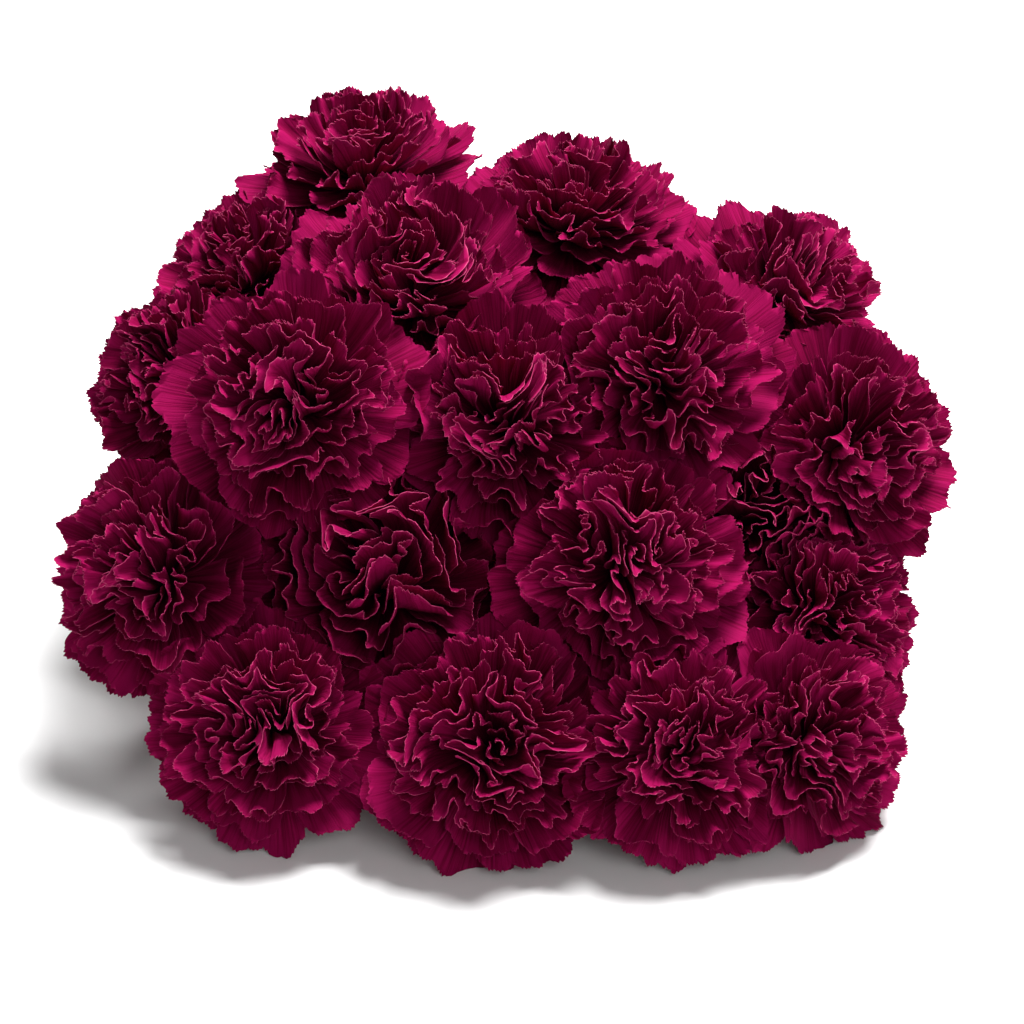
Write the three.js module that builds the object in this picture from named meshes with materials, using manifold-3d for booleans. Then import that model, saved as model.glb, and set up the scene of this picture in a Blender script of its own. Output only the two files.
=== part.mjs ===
import * as THREE from "three";
import { mergeVertices } from "three/addons/utils/BufferGeometryUtils.js";
import Module from "manifold-3d";

// A bunch of nineteen open carnations, laid down and gathered by one band.
// Millimetres, +Z up. The stems run back along +Y, and the dome of blooms looks towards -Y and up.

const { PI, sin, cos, abs, min, max, floor, sqrt, atan2, hypot, tanh } = Math;

const wasm = await Module();
wasm.setup();

const domeTilt = 32;
const domeHeight = 95.2;

// Each bloom: how far across, up the dome and towards the viewer its throat lies, in millimetres,
// then how far it looks up and to the right, in degrees, and its radius.
const blooms = [
  [-45, 101, -96, 50, -12, 41],
  [23, 84, -78, 42, 4, 41],
  [90, 61, -72, 42, 20, 41],
  [-81, 67, -88, 36, -28, 38],
  [-99, 33, -57, 15, -36, 38],
  [-62, 25, -11, 8, -6, 41],
  [-28, 58, -46, 32, -2, 41],
  [2, 19, -20, 10, 0, 39],
  [50, 33, -24, 14, 6, 41],
  [108, 13, -38, 10, 24, 40],
  [-105, -28, -26, 6, -24, 41],
  [-36, -30, -29, 12, -4, 41],
  [37, -24, -8, 8, 4, 41],
  [-70, -74, -6, 6, -10, 40],
  [-3, -79, 0, 10, 0, 42],
  [55, -80, 5, 10, 5, 39],
  [93, -78, -6, 8, 34, 37],
  [99, -38, -34, 8, 28, 38],
  [75, -13, -46, 4, 4, 38],
];

// Petals stand in whorls, each petal a fan of folded panels with a notch beside it. Lean is the angle
// from the bloom's axis, fold how far the panels zigzag to either side of that, and below, above and
// notch how far from the throat the petal rises from its neighbours, as shares of the bloom's radius.
const whorls = [
  { petals: 6, ribs: 3, lean: 86, fold: 6, turn: 0, below: 0.22, above: 0.42, notch: 0.8, length: 1 },
  { petals: 6, ribs: 3, lean: 61, fold: 7, turn: 30, below: 0.42, above: 0.42, notch: 0.5, length: 0.98 },
  { petals: 4, ribs: 3, lean: 37, fold: 8, turn: 12, below: 0.42, above: 0.42, notch: 0.47, length: 0.96 },
  { petals: 3, ribs: 3, lean: 14, fold: 5, turn: 40, below: 0.42, above: 0.42, notch: 0.47, length: 0.96 },
];
const petalThickness = 0.8;
const toothDepth = 0.06;
const notchShare = 0.24;
const azimuthWander = 0.1;
const leanWander = 0.25;
const lengthWander = 0.04;
const domeFlatness = 0.26;
const crownHeight = 0.45;
const bloomGap = 0.6;
const freeShare = 0.8;
const leastFacing = 0.02;
const cellForward = 10;

const plugSides = 6;
const plugTip = 3;
const plugTop = 5.7;
const plugTopDepth = 3.6;
const plugDepth = 13;

// The calyx from its foot on the stem to its mouth: how far below the throat, and how wide.
const calyxFoot = 32;
const calyxProfile = [[30.5, 4.6], [14, 6.6]];
const calyxMouth = 7.6;
const calyxRim = 5.9;
const calyxWall = 1.1;
const calyxPoints = 5;
const pointLength = 2.8;
const pointFlare = 0.5;
const seatGap = 0.4;

const stemRadius = 2.3;
const stemSides = 6;
const stemSamples = 40;
const neckReach = 45;
const gatherShare = 0.4;
const neckGap = 0.6;
const floorGap = 0.1;

// How much narrower the stems stand in the band than their blooms do, across and in height.
const gatherAcross = 10.5;
const gatherRise = 5.6;
const midHeight = 77;

const slotSpacing = 5.15;
const bandAt = 228;
const bandAcross = 4;
const bandWidth = 9;
const bandThickness = 1.6;
const bandSides = 20;
const bandGap = 0.3;
const cutEnd = 338;
const cutWander = 3;
const endSpread = 1.4;

// Leaves sit in pairs at the joints of a stem, each joint a share of the way from calyx to band.
const leafJoints = [0.3, 0.55];
const leafLength = 72;
const leafHalfWidth = 3;
const leafThickness = 0.8;
const leafRows = 3;
const leafOpening = [14, 64];
const leafTurns = 8;
const leafGap = 1;
const leafSpread = 0.15;
const leafTrials = 12;
const leafSunk = 2;
const leafFront = 8;
const mostLeaves = 2;

const petalLook = { color: 0x6e0f34, roughness: 0.72, metalness: 0 };
const greenLook = { color: 0x5f7f63, roughness: 0.6, metalness: 0 };
const bandLook = { color: 0xb9935a, roughness: 0.65, metalness: 0 };

const radians = (degrees) => (degrees * PI) / 180;
const mix = (a, b, t) => a + (b - a) * t;
const along = (point, direction, distance) => point.clone().addScaledVector(direction, distance);

// A repeatable draw between -1 and 1 for a place named by up to three whole numbers.
function draw(a, b = 0, c = 0) {
  const wave = sin(a * 12.9898 + b * 78.233 + c * 37.719 + 4.1414) * 43758.5453;
  return 2 * (wave - floor(wave)) - 1;
}

// Solids

function solidOf(points, triangles) {
  const vertProperties = new Float32Array(points.flatMap((p) => [p.x, p.y, p.z]));
  const triVerts = new Uint32Array(triangles.flat());
  return new wasm.Manifold(new wasm.Mesh({ numProp: 3, vertProperties, triVerts }));
}

function meshOf(name, solid, look) {
  const made = solid.getMesh();
  const geometry = new THREE.BufferGeometry();
  geometry.setAttribute("position", new THREE.BufferAttribute(made.vertProperties, made.numProp));
  geometry.setIndex(new THREE.BufferAttribute(made.triVerts, 1));
  geometry.computeVertexNormals();
  const material = new THREE.MeshStandardMaterial({ ...look, flatShading: true });
  const mesh = new THREE.Mesh(geometry, material);
  mesh.name = name;
  return mesh;
}

// A block under the floor, wider and longer than the bunch.
const ground = { width: 600, length: 900, depth: 20 };

// What is left of a solid above the floor.
function aboveFloor(solid) {
  const box = new THREE.BoxGeometry(ground.width, ground.length, ground.depth);
  box.translate(0, 0, -ground.depth / 2);
  box.deleteAttribute("normal");
  box.deleteAttribute("uv");
  const merged = mergeVertices(box);
  const vertProperties = merged.attributes.position.array;
  const triVerts = new Uint32Array(merged.index.array);
  const block = new wasm.Manifold(new wasm.Mesh({ numProp: 3, vertProperties, triVerts }));
  const bodies = solid.subtract(block).decompose();
  return bodies.reduce((a, b) => (b.volume() > a.volume() ? b : a));
}

// A skin over closed rings of points, given from the bottom up, with a point at either end. Rings may
// differ in count: each point carries its azimuth, and the skin takes the points in that order.
function skin(first, rings, last) {
  const points = [first, ...rings.flat(), last];
  const starts = rings.map((_, r) => 1 + rings.slice(0, r).reduce((sum, ring) => sum + ring.length, 0));
  const at = (r, k) => starts[r] + (k % rings[r].length);
  const azimuth = (r, k) => rings[r][k % rings[r].length].azimuth + 360 * floor(k / rings[r].length);
  const triangles = [];
  rings[0].forEach((_, k) => triangles.push([0, at(0, k + 1), at(0, k)]));
  for (let r = 0; r + 1 < rings.length; r++) {
    let [low, high] = [0, 0];
    while (low < rings[r].length || high < rings[r + 1].length) {
      const lowFirst = azimuth(r, low + 1) <= azimuth(r + 1, high + 1);
      if (high === rings[r + 1].length || (low < rings[r].length && lowFirst)) {
        triangles.push([at(r, low), at(r, low + 1), at(r + 1, high)]);
        low++;
      } else {
        triangles.push([at(r, low), at(r + 1, high + 1), at(r + 1, high)]);
        high++;
      }
    }
  }
  const top = rings.length - 1;
  rings[top].forEach((_, k) => triangles.push([points.length - 1, at(top, k), at(top, k + 1)]));
  return solidOf(points, triangles);
}

// A thin blade between two grids of points, split into triangles alike on both faces.
function blade(front, back) {
  const rows = front.length;
  const columns = front[0].length;
  const points = [...front.flat(), ...back.flat()];
  const at = (side, row, column) => (side * rows + row) * columns + column;
  const triangles = [];
  for (let r = 0; r + 1 < rows; r++) {
    for (let c = 0; c + 1 < columns; c++) {
      const [a, b, d, e] = [at(0, r, c), at(0, r, c + 1), at(0, r + 1, c), at(0, r + 1, c + 1)];
      triangles.push([a, b, e], [a, e, d]);
      const [f, g, h, i] = [at(1, r, c), at(1, r, c + 1), at(1, r + 1, c), at(1, r + 1, c + 1)];
      triangles.push([f, i, g], [f, h, i]);
    }
  }
  const edge = [];
  for (let c = 0; c < columns; c++) edge.push([0, c]);
  for (let r = 1; r < rows; r++) edge.push([r, columns - 1]);
  for (let c = columns - 2; c >= 0; c--) edge.push([rows - 1, c]);
  for (let r = rows - 2; r > 0; r--) edge.push([r, 0]);
  edge.forEach(([r, c], k) => {
    const [nextRow, nextColumn] = edge[(k + 1) % edge.length];
    const [a, b] = [at(0, r, c), at(0, nextRow, nextColumn)];
    const [d, e] = [at(1, r, c), at(1, nextRow, nextColumn)];
    triangles.push([b, a, d], [b, d, e]);
  });
  return solidOf(points, triangles);
}

// Places of the blooms

const rightward = new THREE.Vector3(1, 0, 0);
const upward = new THREE.Vector3(0, sin(radians(domeTilt)), cos(radians(domeTilt)));
const forward = new THREE.Vector3(0, -cos(radians(domeTilt)), sin(radians(domeTilt)));

function placeBloom([across, rise, near, pitch, yaw, radius], index) {
  const throat = new THREE.Vector3(0, 0, domeHeight)
    .addScaledVector(rightward, across)
    .addScaledVector(upward, rise)
    .addScaledVector(forward, near);
  const axis = new THREE.Vector3()
    .addScaledVector(forward, cos(radians(pitch)) * cos(radians(yaw)))
    .addScaledVector(upward, sin(radians(pitch)) * cos(radians(yaw)))
    .addScaledVector(rightward, sin(radians(yaw)));
  const side = new THREE.Vector3().crossVectors(axis, rightward).normalize();
  const turn = radians(180 * draw(index, 1));
  const u = side.clone().applyAxisAngle(axis, turn);
  const v = new THREE.Vector3().crossVectors(axis, u);
  return { index, throat, axis, u, v, radius, heart: along(throat, axis, cellForward) };
}

const placed = blooms.map(placeBloom);

// Flat walls that keep each bloom clear of its neighbours, each a direction and how far out it lies.
function wallsOf(bloom) {
  return placed
    .filter((other) => other !== bloom)
    .map((other) => {
      const normal = other.heart.clone().sub(bloom.heart);
      const share = bloom.radius / (bloom.radius + other.radius);
      const wall = along(bloom.heart, normal, share);
      normal.normalize();
      return { normal, reach: wall.sub(bloom.throat).dot(normal) - bloomGap / 2 };
    });
}

function directionIn(bloom, lean, azimuth) {
  const away = radians(lean);
  const round = radians(azimuth);
  return bloom.axis
    .clone()
    .multiplyScalar(cos(away))
    .addScaledVector(bloom.u, sin(away) * cos(round))
    .addScaledVector(bloom.v, sin(away) * sin(round));
}

// How far a petal can grow in one direction: it slows near a wall and never passes it.
function growth(bloom, direction, length) {
  let room = Infinity;
  for (const { normal, reach } of bloom.walls) {
    const facing = normal.dot(direction);
    if (facing > leastFacing) room = min(room, (reach - petalThickness) / facing);
  }
  const free = freeShare * room;
  const grown = length <= free ? length : free + (room - free) * tanh((length - free) / (room - free));
  const drop = -direction.z;
  return drop > leastFacing ? min(grown, (bloom.throat.z + petalThickness) / drop) : grown;
}

const domeRadius = (bloom, lean) =>
  bloom.radius * (1 - domeFlatness + domeFlatness * sin(radians(min(lean, 90))) ** 2);

// Blooms

// The ribs of one whorl: folded ones along each petal and a short one in the notch beside it.
function ribsOf(bloom, whorl, whorlIndex) {
  const ribs = [];
  const perPetal = whorl.ribs + 1;
  for (let k = 0; k < whorl.petals * perPetal; k++) {
    const rib = k % perPetal;
    const notch = rib === whorl.ribs;
    const place = notch ? 1 : (2 * rib) / (whorl.ribs - 1) - 1;
    const half = 180 / whorl.petals;
    const wander = draw(bloom.index, 10 + whorlIndex, k);
    const middle = (2 * floor(k / perPetal) + 1) * half;
    const turned = half * (notch ? 1 : (1 - notchShare) * place + azimuthWander * wander);
    const azimuth = (middle + turned + whorl.turn) % 360;
    const side = notch ? 0 : rib % 2 ? 1 : -1;
    const lean = whorl.lean + whorl.fold * (side + leanWander * wander);
    const direction = directionIn(bloom, lean, azimuth);
    const tooth = side < 0 ? toothDepth : 0;
    const full = domeRadius(bloom, lean) * whorl.length * (1 - tooth + lengthWander * wander);
    const length = notch ? whorl.notch * bloom.radius : full;
    ribs.push({ azimuth, direction, length: growth(bloom, direction, length) });
  }
  return ribs.sort((a, b) => a.azimuth - b.azimuth);
}

// One whorl as four rings: out along the underside of its petals, round their edges and back.
function whorlRings(bloom, whorl, whorlIndex) {
  const ribs = ribsOf(bloom, whorl, whorlIndex);
  const normals = ribs.map((rib, k) =>
    new THREE.Vector3().crossVectors(rib.direction, ribs[(k + 1) % ribs.length].direction).normalize(),
  );
  const ring = (distanceOf, side) =>
    ribs.map((rib, k) => {
      const before = normals[(k + ribs.length - 1) % ribs.length];
      const mitre = before.clone().add(normals[k]).normalize();
      const point = along(bloom.throat, rib.direction, distanceOf(rib));
      point.addScaledVector(mitre, (side * petalThickness) / 2 / mitre.dot(before));
      point.azimuth = rib.azimuth;
      return point;
    });
  const tip = (rib) => rib.length;
  return [
    ring((rib) => growth(bloom, rib.direction, whorl.below * bloom.radius), -1),
    ring(tip, -1),
    ring(tip, 1),
    ring((rib) => growth(bloom, rib.direction, whorl.above * bloom.radius), 1),
  ];
}

// A level ring round the bloom's axis, below its throat.
function plugRing(bloom, radius, depth) {
  return Array.from({ length: plugSides }, (_, side) => {
    const azimuth = (360 / plugSides) * (side + 0.5);
    const lean = 90 + (atan2(depth, radius) * 180) / PI;
    const point = along(bloom.throat, directionIn(bloom, lean, azimuth), hypot(radius, depth));
    point.azimuth = azimuth;
    return point;
  });
}

function bloomSolid(bloom) {
  const rings = [
    plugRing(bloom, plugTip, plugDepth),
    plugRing(bloom, plugTop, plugTopDepth),
    ...whorls.flatMap((whorl, w) => whorlRings(bloom, whorl, w)),
  ];
  const bottom = along(bloom.throat, bloom.axis, -plugDepth);
  const top = along(bloom.throat, bloom.axis, growth(bloom, bloom.axis, crownHeight * bloom.radius));
  return aboveFloor(skin(bottom, rings, top));
}

// Routes of the stems

const backward = new THREE.Vector3(0, 1, 0);
const rowHeight = (slotSpacing * sqrt(3)) / 2;
const bandHeight = 2 * rowHeight + stemRadius + bandGap + bandThickness;

// Nineteen places for stems in the band, packed in a hexagon.
function slotPlaces() {
  const places = [];
  for (let row = -2; row <= 2; row++) {
    const count = 5 - abs(row);
    for (let k = 0; k < count; k++) {
      places.push({ across: (k - (count - 1) / 2) * slotSpacing, rise: row * rowHeight });
    }
  }
  return places;
}

const leastGain = 1e-9;

// Gives each stem the slot that lies the way its bloom does, swapping pairs while that helps.
function shareSlots(slots) {
  const holder = placed.map((_, k) => k);
  const mismatch = (bloom, slot) =>
    ((bloom.throat.x - bandAcross) / gatherAcross - slot.across) ** 2 +
    ((bloom.throat.z - midHeight) / gatherRise - slot.rise) ** 2;
  const cost = (k, other) => mismatch(placed[k], slots[holder[other]]);
  for (let swapped = true; swapped; ) {
    swapped = false;
    for (let a = 0; a < holder.length; a++) {
      for (let b = a + 1; b < holder.length; b++) {
        if (cost(a, b) + cost(b, a) < cost(a, a) + cost(b, b) - leastGain) {
          [holder[a], holder[b]] = [holder[b], holder[a]];
          swapped = true;
        }
      }
    }
  }
  return holder.map((k) => slots[k]);
}

// A stem in two curves: from the calyx to the band, and from the band to the cut end.
function stemCurves(bloom) {
  const foot = along(bloom.throat, bloom.axis, -calyxFoot);
  const lowest = stemRadius + neckGap;
  const neck = min(neckReach, (foot.z - lowest) / bloom.axis.z);
  const { across, rise } = bloom.slot;
  const enter = new THREE.Vector3(bandAcross + across, bandAt - bandWidth, bandHeight + rise);
  const leave = new THREE.Vector3(enter.x, bandAt + bandWidth, enter.z);
  const endRise = stemRadius + floorGap + (rise + 2 * rowHeight) * endSpread;
  const cut = cutEnd + cutWander * draw(bloom.index, 5);
  const end = new THREE.Vector3(bandAcross + across * endSpread, cut, endRise);
  const gather = gatherShare * foot.distanceTo(enter);
  const third = (cutEnd - bandAt) / 3;
  return [
    new THREE.CubicBezierCurve3(foot, along(foot, bloom.axis, -neck), along(enter, backward, -gather), enter),
    new THREE.CubicBezierCurve3(leave, along(leave, backward, third), along(end, backward, -third), end),
  ];
}

// Stems

// Shares of the way from calyx to band where a stem bends, two of them at its leaf joints.
const stemSteps = [0.12, ...leafJoints, 1];

// Rings round the stem from its cut end up to the foot of its calyx. Each ring's frame is the next
// one's turned as little as possible, so that the last meets the bloom's own.
function stemRings(bloom) {
  const [gathered, spread] = bloom.curves;
  const places = [
    ...stemSteps.map((t) => [gathered.getPoint(t), gathered.getTangent(t)]),
    ...[0, 1].map((t) => [spread.getPoint(t), spread.getTangent(t)]),
  ];
  let u = bloom.u.clone();
  return places
    .map(([centre, tangent]) => {
      u = along(u, tangent, -u.dot(tangent)).normalize();
      const v = new THREE.Vector3().crossVectors(u, tangent);
      return Array.from({ length: stemSides }, (_, side) => {
        const azimuth = (360 / stemSides) * (side + 0.5);
        const point = along(centre, u, stemRadius * cos(radians(azimuth)));
        point.addScaledVector(v, stemRadius * sin(radians(azimuth)));
        point.azimuth = azimuth;
        return point;
      });
    })
    .reverse();
}

// A ring of the calyx, its odd points higher by the given length where it ends in teeth.
function calyxRing(bloom, radius, depth, rise = 0, flare = 0) {
  const sides = 2 * calyxPoints;
  return Array.from({ length: sides }, (_, side) => {
    const azimuth = (360 / sides) * (side + 0.5);
    const raised = side % 2 ? 1 : 0;
    const point = along(bloom.throat, bloom.axis, rise * raised - depth);
    const spreadRadius = radius + flare * raised;
    point.addScaledVector(bloom.u, spreadRadius * cos(radians(azimuth)));
    point.addScaledVector(bloom.v, spreadRadius * sin(radians(azimuth)));
    point.azimuth = azimuth;
    return point;
  });
}

function stemSolid(bloom) {
  const rings = [
    ...stemRings(bloom),
    ...calyxProfile.map(([depth, radius]) => calyxRing(bloom, radius, depth)),
    calyxRing(bloom, calyxMouth, calyxRim, pointLength, pointFlare),
    calyxRing(bloom, calyxMouth - calyxWall, calyxRim, pointLength, pointFlare),
    calyxRing(bloom, plugTip + seatGap, plugDepth + seatGap),
  ];
  const cut = bloom.curves[1].getPoint(1);
  const pit = along(bloom.throat, bloom.axis, -plugDepth - seatGap);
  return bloom.leaves.reduce((solid, leaf) => solid.add(leafSolid(leaf)), skin(cut, rings, pit));
}

// Leaves

// How far a point lies from a bloom and its calyx, both taken as plain round shapes.
function roomFromBloom(bloom, point) {
  const offset = point.clone().sub(bloom.throat);
  const below = -offset.dot(bloom.axis);
  if (below < 0) return offset.length() - bloom.radius;
  const away = sqrt(max(0, offset.lengthSq() - below ** 2));
  const fromPetals = hypot(max(0, away - bloom.radius), below);
  const fromCalyx = below < calyxFoot ? away - calyxMouth : hypot(away, below - calyxFoot);
  return min(fromPetals, fromCalyx);
}

const leafWidthAt = (share) => leafHalfWidth * min(1, 0.6 + 3 * share) * (1 - 0.93 * share ** 1.8);

// A leaf's midrib as an arc that opens away from its stem, in equal steps.
function leafPath(bloom, joint, azimuth, length, steps) {
  const curve = bloom.curves[0];
  const towards = curve.getTangent(joint).negate();
  const u = along(bloom.u, towards, -bloom.u.dot(towards)).normalize();
  const outward = u.applyAxisAngle(towards, radians(azimuth));
  const across = new THREE.Vector3().crossVectors(towards, outward);
  const rows = [];
  let point = curve.getPoint(joint);
  for (let k = 0; k <= steps; k++) {
    const share = k / steps;
    const opening = radians(mix(leafOpening[0], leafOpening[1], share));
    const heading = towards.clone().multiplyScalar(cos(opening)).addScaledVector(outward, sin(opening));
    const normal = new THREE.Vector3().crossVectors(across, heading);
    rows.push({ share, point: point.clone(), across, normal });
    point = along(point, heading, length / steps);
  }
  return rows;
}

function leafIsClear(bloom, path, leaves) {
  return path.slice(leafSunk + 1).every(({ share, point }) => {
    const reach = leafWidthAt(share) + leafGap;
    if (point.z < reach || point.y < leafFront) return false;
    if (placed.some((other) => roomFromBloom(other, point) < reach)) return false;
    const near = (sample) => sample.distanceTo(point) < reach + stemRadius;
    if (placed.some((other) => other !== bloom && other.samples.some(near))) return false;
    return leaves.every((leaf) => leaf.every((row) => row.point.distanceTo(point) > 2 * reach));
  });
}

// Leaves go to the first turns round each joint where they touch nothing else.
function growLeaves() {
  const grown = [];
  for (const bloom of placed) {
    bloom.leaves = [];
    const first = 180 * draw(bloom.index, 6);
    for (let k = 0; k < 2 * leafTurns * leafJoints.length && bloom.leaves.length < mostLeaves; k++) {
      const pair = floor(k / 2);
      const joint = leafJoints[pair % leafJoints.length];
      const turn = 90 * (pair % 2) + (180 / leafTurns) * floor(pair / 2);
      const azimuth = first + turn + 180 * (k % 2);
      const length = leafLength * (1 + leafSpread * draw(bloom.index, 7, k));
      const path = leafPath(bloom, joint, azimuth, length, leafTrials);
      if (leafIsClear(bloom, path, grown)) {
        grown.push(path.slice(leafSunk));
        bloom.leaves.push({ bloom, joint, azimuth, length });
      }
    }
  }
}

function leafSolid({ bloom, joint, azimuth, length }) {
  const front = [];
  const back = [];
  for (const { share, point, across, normal } of leafPath(bloom, joint, azimuth, length, leafRows)) {
    const width = leafWidthAt(share);
    for (const [face, side] of [[front, 1], [back, -1]]) {
      const middle = along(point, normal, (side * leafThickness) / 2);
      face.push([along(middle, across, -width), along(middle, across, width)]);
    }
  }
  return blade(front, back);
}

// Band

// The band's outline a given distance outside the outermost stems, as points where its sides meet.
function bandOutline(slots, distance) {
  const reach = (angle) =>
    max(...slots.map(({ across, rise }) => across * cos(angle) + rise * sin(angle))) + distance;
  const step = (2 * PI) / bandSides;
  return Array.from({ length: bandSides }, (_, k) => {
    const [a, b] = [k * step, (k + 1) * step];
    const [p, q] = [reach(a), reach(b)];
    const x = (p * sin(b) - q * sin(a)) / sin(step);
    const z = (q * cos(a) - p * cos(b)) / sin(step);
    return [bandAcross + x, bandHeight + z];
  });
}

function bandSolid(slots) {
  const inner = bandOutline(slots, stemRadius + bandGap);
  const outer = bandOutline(slots, stemRadius + bandGap + bandThickness);
  const corner = ([x, z], side) => new THREE.Vector3(x, bandAt + (side * bandWidth) / 2, z);
  const points = inner.flatMap((_, k) => [
    corner(inner[k], -1),
    corner(inner[k], 1),
    corner(outer[k], 1),
    corner(outer[k], -1),
  ]);
  const triangles = [];
  for (let k = 0; k < bandSides; k++) {
    const next = (k + 1) % bandSides;
    for (let c = 0; c < 4; c++) {
      const [a, b] = [4 * k + c, 4 * k + ((c + 1) % 4)];
      const [d, e] = [4 * next + c, 4 * next + ((c + 1) % 4)];
      triangles.push([a, d, e], [a, e, b]);
    }
  }
  return solidOf(points, triangles);
}

// The bunch

const slots = slotPlaces();
shareSlots(slots).forEach((slot, k) => (placed[k].slot = slot));
for (const bloom of placed) {
  bloom.walls = wallsOf(bloom);
  bloom.curves = stemCurves(bloom);
  bloom.samples = bloom.curves.flatMap((curve) => curve.getPoints(stemSamples));
}
growLeaves();

const bunch = new THREE.Group();
for (const bloom of placed) {
  const number = String(bloom.index + 1).padStart(2, "0");
  bunch.add(meshOf(`bloom_${number}`, bloomSolid(bloom), petalLook));
  bunch.add(meshOf(`stem_${number}`, stemSolid(bloom), greenLook));
}
bunch.add(meshOf("band", bandSolid(slots), bandLook));

// The part's origin lies on the floor below the middle of the bunch.
const extent = new THREE.Box3().setFromObject(bunch);
const middle = extent.getCenter(new THREE.Vector3());
bunch.position.set(-middle.x, -middle.y, 0);

export default bunch;
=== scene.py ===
from math import cos, floor, pi, radians, sin, sqrt

import bpy
import numpy as np
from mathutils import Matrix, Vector
from numpy.linalg import norm


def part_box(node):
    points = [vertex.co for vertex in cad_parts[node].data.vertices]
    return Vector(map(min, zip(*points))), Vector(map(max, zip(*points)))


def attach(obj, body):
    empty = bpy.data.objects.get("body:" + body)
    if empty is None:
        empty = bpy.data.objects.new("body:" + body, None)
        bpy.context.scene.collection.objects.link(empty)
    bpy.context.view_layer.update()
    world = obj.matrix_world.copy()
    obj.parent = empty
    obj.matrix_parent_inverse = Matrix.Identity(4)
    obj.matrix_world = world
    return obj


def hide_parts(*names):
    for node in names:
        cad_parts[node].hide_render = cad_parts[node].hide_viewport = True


# Looks of a bunch of nineteen carnations that lies on its side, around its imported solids.
# The bunch is laid out in millimetres, as its solids are, and written in metres in the part's frame.

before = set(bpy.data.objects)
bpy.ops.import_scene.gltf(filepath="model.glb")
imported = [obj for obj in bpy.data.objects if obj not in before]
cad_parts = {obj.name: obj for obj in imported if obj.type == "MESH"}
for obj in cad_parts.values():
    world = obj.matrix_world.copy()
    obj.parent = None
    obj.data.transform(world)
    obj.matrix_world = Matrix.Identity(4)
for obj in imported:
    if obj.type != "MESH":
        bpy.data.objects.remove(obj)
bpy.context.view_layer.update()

MM = 0.001
TINY = 1e-9
TILT = radians(32)
DOME_HEIGHT = 95.2
RIGHT = np.array([1.0, 0.0, 0.0])
UP = np.array([0.0, sin(TILT), cos(TILT)])
FORWARD = np.array([0.0, -cos(TILT), sin(TILT)])
BACK = np.array([0.0, 1.0, 0.0])

# Each bloom: across, up the dome and towards the viewer, how far it looks up and right, its radius, and
# as shares, how far its petals reach of that, how flat its front is and how strongly it folds.
BLOOMS = [
    (-45, 101, -96, 50, -12, 41, 0.94, 0.26, 0.80),
    (23, 84, -78, 42, 4, 41, 0.95, 0.26, 0.76),
    (90, 61, -72, 42, 20, 41, 0.91, 0.26, 0.84),
    (-81, 67, -88, 36, -28, 38, 0.94, 0.26, 0.90),
    (-99, 33, -57, 15, -36, 38, 0.91, 0.26, 1.00),
    (-62, 25, -11, 8, -6, 41, 1.00, 0.26, 0.92),
    (-28, 58, -46, 32, -2, 41, 1.09, 0.26, 0.92),
    (2, 19, -20, 10, 0, 39, 1.00, 0.22, 1.06),
    (50, 33, -24, 14, 6, 41, 1.00, 0.26, 0.92),
    (108, 13, -38, 10, 24, 40, 0.94, 0.26, 0.88),
    (-105, -28, -26, 6, -24, 41, 0.94, 0.26, 0.86),
    (-36, -30, -29, 12, -4, 41, 1.12, 0.06, 0.80),
    (37, -24, -8, 8, 4, 41, 1.00, 0.26, 1.00),
    (-70, -74, -6, 6, -10, 40, 0.94, 0.26, 0.84),
    (-3, -79, 0, 10, 0, 42, 1.01, 0.26, 1.00),
    (55, -80, 5, 10, 5, 39, 0.92, 0.26, 1.04),
    (93, -78, -6, 8, 34, 37, 0.95, 0.24, 0.88),
    (99, -38, -34, 8, 28, 38, 0.97, 0.26, 0.95),
    (75, -13, -46, 4, 4, 38, 1.14, 0.08, 0.84),
]

# Where the solids stand in the part's frame, told by the band.
BAND_AT = 228
BAND_ACROSS = 4
band_low, band_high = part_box("band")
band_middle = (np.array(band_low) + np.array(band_high)) / 2 / MM
SHIFT = np.array([band_middle[0] - BAND_ACROSS, band_middle[1] - BAND_AT, 0.0])


def unit(v):
    """Vectors at length one, along the last axis."""
    return v / np.maximum(norm(v, axis=-1, keepdims=True), TINY)


def smooth(x):
    x = np.clip(x, 0, 1)
    return x * x * (3 - 2 * x)


def draw(a, b, c=0):
    """A repeatable draw between -1 and 1 for up to three whole numbers, by a sine hash."""
    wave = sin(a * 12.9898 + b * 78.233 + c * 37.719 + 4.1414) * 43758.5453
    return 2 * (wave - floor(wave)) - 1


def turned(v, axis, angle):
    """A vector turned about a unit axis, in radians."""
    return v * cos(angle) + np.cross(axis, v) * sin(angle) + axis * (axis @ v) * (1 - cos(angle))


def around(azimuth, u, v):
    """Directions at angles from one axis towards another."""
    return np.cos(azimuth)[..., None] * u + np.sin(azimuth)[..., None] * v


def lengths_along(line):
    """How far along a line each of its points lies."""
    return np.concatenate([[0], np.cumsum(norm(np.diff(line, axis=0), axis=1))])


def in_part(points):
    """Points of the bunch in the part's frame."""
    return (points + SHIFT) * MM


def add_object(name, data):
    made = bpy.data.objects.new(name, data)
    bpy.context.scene.collection.objects.link(made)
    return made


# Meshes

SHARP_EDGE = radians(75)


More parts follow.
